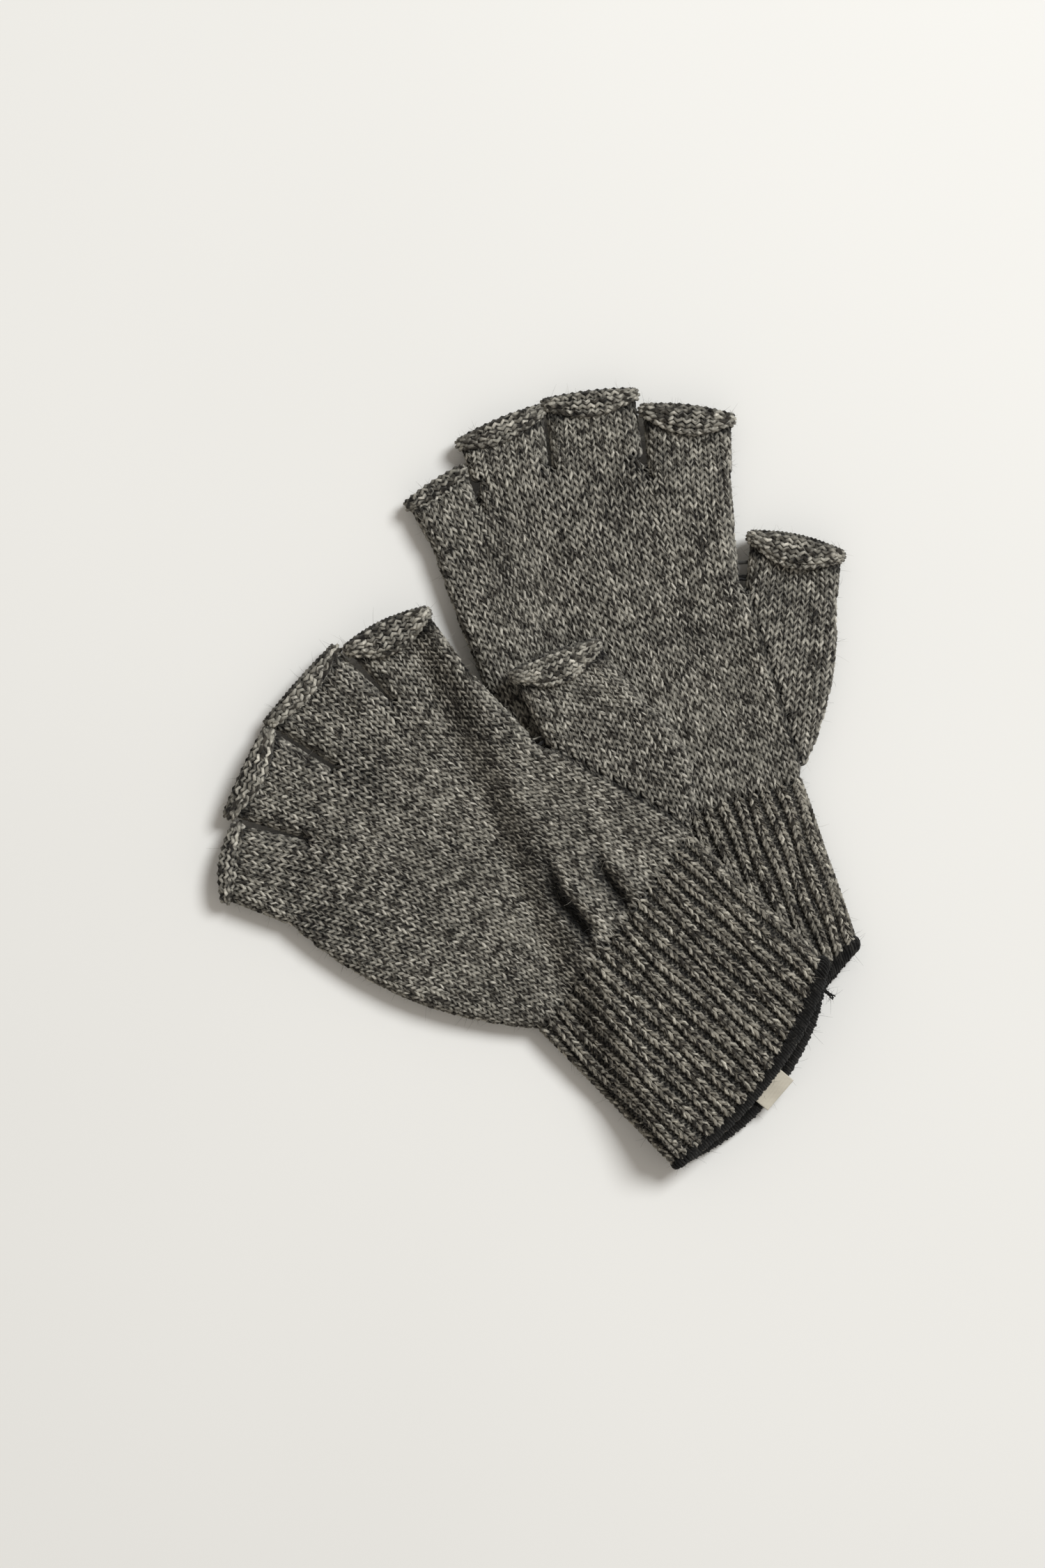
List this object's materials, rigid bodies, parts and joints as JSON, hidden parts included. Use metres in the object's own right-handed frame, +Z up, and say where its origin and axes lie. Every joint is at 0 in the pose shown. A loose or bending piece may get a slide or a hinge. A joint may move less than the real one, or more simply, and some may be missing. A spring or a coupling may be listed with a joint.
{
  "type": "fingerless gloves",
  "caption": "Pair of grey knitted fingerless gloves with rolled finger edges, ribbed cuffs and a dark overlocked wrist edge, lying flat with one partly over the other.",
  "frame": {"origin": "on the surface the pair lies on, under the middle of the pair's bounding box", "axes": "+Z up from that surface, +Y towards the fingers of the lower glove, +X towards that glove's thumb side"},
  "size_m": [0.2024, 0.2462, 0.0212],
  "materials": {
    "ragg_wool": "marled two-ply grey wool, plain knit, matt and slightly hairy",
    "ribbed_wool": "the same marled grey wool knitted in a one-by-one rib, matt",
    "binding_yarn": "charcoal bulked overlock thread, matt",
    "woven_label": "blank cream woven tape, fine weave, slight sheen"
  },
  "bodies": {
    "under_glove": {"under_hand": "ragg_wool", "under_cuff": "ribbed_wool", "under_binding": "binding_yarn"},
    "over_glove": {"over_hand": "ragg_wool"},
    "under_little_finger": {"under_little_finger": "ragg_wool"},
    "under_ring_finger": {"under_ring_finger": "ragg_wool"},
    "under_middle_finger": {"under_middle_finger": "ragg_wool"},
    "under_index_finger": {"under_index_finger": "ragg_wool"},
    "under_thumb": {"under_thumb": "ragg_wool"},
    "over_little_finger": {"over_little_finger": "ragg_wool"},
    "over_ring_finger": {"over_ring_finger": "ragg_wool"},
    "over_middle_finger": {"over_middle_finger": "ragg_wool"},
    "over_index_finger": {"over_index_finger": "ragg_wool"},
    "over_thumb": {"over_thumb": "ragg_wool"},
    "over_cuff": {"over_cuff": "ribbed_wool", "over_binding": "binding_yarn", "over_label": "woven_label", "over_thread_end": "binding_yarn"}
  },
  "joints": [
    {"name": "over_glove_lift", "type": "slide", "parent": "under_glove", "child": "over_glove", "axis": [0, 0, 1], "range_m": [0, 0.12]},
    {"name": "under_little_finger_fold", "type": "hinge", "parent": "under_glove", "child": "under_little_finger", "pos_m": [-0.02532, 0.07842, 0.0106], "axis": [0.866, 0.5, 0], "range_deg": [0, 80]},
    {"name": "under_ring_finger_fold", "type": "hinge", "parent": "under_glove", "child": "under_ring_finger", "pos_m": [-0.00802, 0.09562, 0.0106], "axis": [0.9744, 0.225, 0], "range_deg": [0, 80]},
    {"name": "under_middle_finger_fold", "type": "hinge", "parent": "under_glove", "child": "under_middle_finger", "pos_m": [0.01928, 0.09892, 0.0106], "axis": [0.9903, 0.1392, 0], "range_deg": [0, 80]},
    {"name": "under_index_finger_fold", "type": "hinge", "parent": "under_glove", "child": "under_index_finger", "pos_m": [0.04838, 0.09482, 0.0106], "axis": [0.999, 0.0436, 0], "range_deg": [0, 80]},
    {"name": "under_thumb_fold", "type": "hinge", "parent": "under_glove", "child": "under_thumb", "pos_m": [0.08018, 0.05792, 0.0106], "axis": [0.9945, -0.1045, 0], "range_deg": [0, 80]},
    {"name": "over_little_finger_fold", "type": "hinge", "parent": "over_glove", "child": "over_little_finger", "pos_m": [-0.07462, -0.03108, 0.0106], "axis": [0.2198, 0.9755, 0], "range_deg": [0, 80]},
    {"name": "over_ring_finger_fold", "type": "hinge", "parent": "over_glove", "child": "over_ring_finger", "pos_m": [-0.06932, -0.00788, 0.0106], "axis": [0.4305, 0.9026, 0], "range_deg": [0, 80]},
    {"name": "over_middle_finger_fold", "type": "hinge", "parent": "over_glove", "child": "over_middle_finger", "pos_m": [-0.05452, 0.01402, 0.0106], "axis": [0.6374, 0.7705, 0], "range_deg": [0, 80]},
    {"name": "over_index_finger_fold", "type": "hinge", "parent": "over_glove", "child": "over_index_finger", "pos_m": [-0.03392, 0.03022, 0.0106], "axis": [0.8746, 0.4848, 0], "range_deg": [0, 80]},
    {"name": "over_thumb_fold", "type": "hinge", "parent": "over_glove", "child": "over_thumb", "pos_m": [0.01838, 0.01732, 0.0214], "axis": [0.891, 0.454, 0], "range_deg": [0, 80]},
    {"name": "over_cuff_fold", "type": "hinge", "parent": "over_glove", "child": "over_cuff", "pos_m": [0.02485, -0.04857, 0.0214], "axis": [-0.6027, -0.798, 0], "range_deg": [0, 75]}
  ]
}
